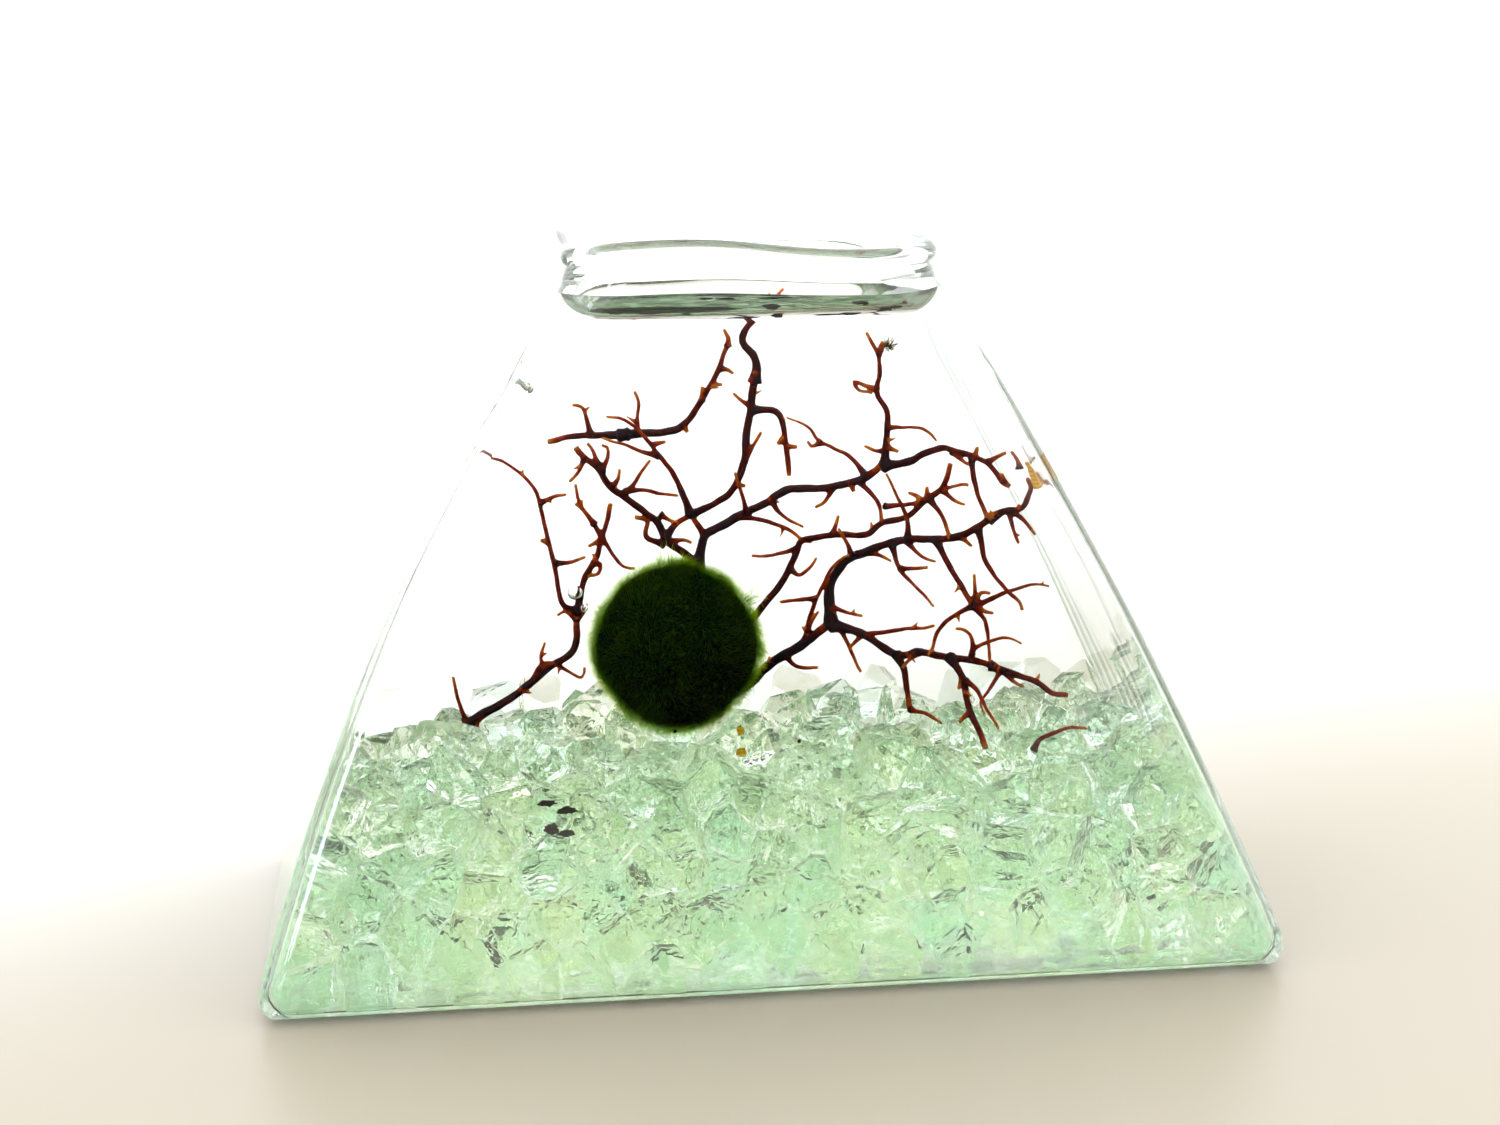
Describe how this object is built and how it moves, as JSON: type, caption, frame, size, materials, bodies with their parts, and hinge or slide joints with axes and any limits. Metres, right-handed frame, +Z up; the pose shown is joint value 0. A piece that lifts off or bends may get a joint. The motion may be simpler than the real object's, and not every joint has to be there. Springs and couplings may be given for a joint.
{
  "type": "marimo moss ball in a glass bowl",
  "caption": "Round green moss ball under water on pale green crushed glass, before a branching brown sea fan, in a small clear tapered glass bowl with a wavy rolled lip.",
  "frame": {"origin": "under the middle of the bowl's base, on the surface it stands on", "axes": "+Z up; +X along the bowl's broad side, to the right seen from the front; the front broad face looks toward -Y"},
  "size_m": [0.0946, 0.0552, 0.0686],
  "materials": {
    "clear_glass": "clear soda-lime glass, hand formed and fire polished, faint green in its thickness",
    "crushed_glass": "crushed pastel green glass, glossy broken faces, cloudy inside",
    "water": "still clear water",
    "green_moss": "soft velvety green algae threads",
    "sea_fan_stem": "dried horny sea-fan stem, satin, dark brown to rust at the tips"
  },
  "bodies": {
    "root": {"glass_bowl": "clear_glass", "glass_chip_bed": "crushed_glass", "water": "water", "marimo_moss_ball": "green_moss", "sea_fan_left_stem": "sea_fan_stem", "sea_fan_left_outer_branch": "sea_fan_stem", "sea_fan_left_inner_branch": "sea_fan_stem", "sea_fan_root_stem": "sea_fan_stem", "sea_fan_upper_left_limb": "sea_fan_stem", "sea_fan_upper_left_arm": "sea_fan_stem", "sea_fan_diagonal_branch": "sea_fan_stem", "sea_fan_middle_riser": "sea_fan_stem", "sea_fan_middle_limb": "sea_fan_stem", "sea_fan_right_riser": "sea_fan_stem", "sea_fan_right_crown": "sea_fan_stem", "sea_fan_inner_branch": "sea_fan_stem", "sea_fan_arch_stem": "sea_fan_stem", "sea_fan_arch_limb": "sea_fan_stem", "sea_fan_arch_outer_drop": "sea_fan_stem", "sea_fan_arch_inner_drop": "sea_fan_stem", "sea_fan_lower_right_limb": "sea_fan_stem", "sea_fan_front_leg": "sea_fan_stem", "sea_fan_right_leg": "sea_fan_stem", "sea_fan_loose_tip": "sea_fan_stem"}
  },
  "joints": []
}
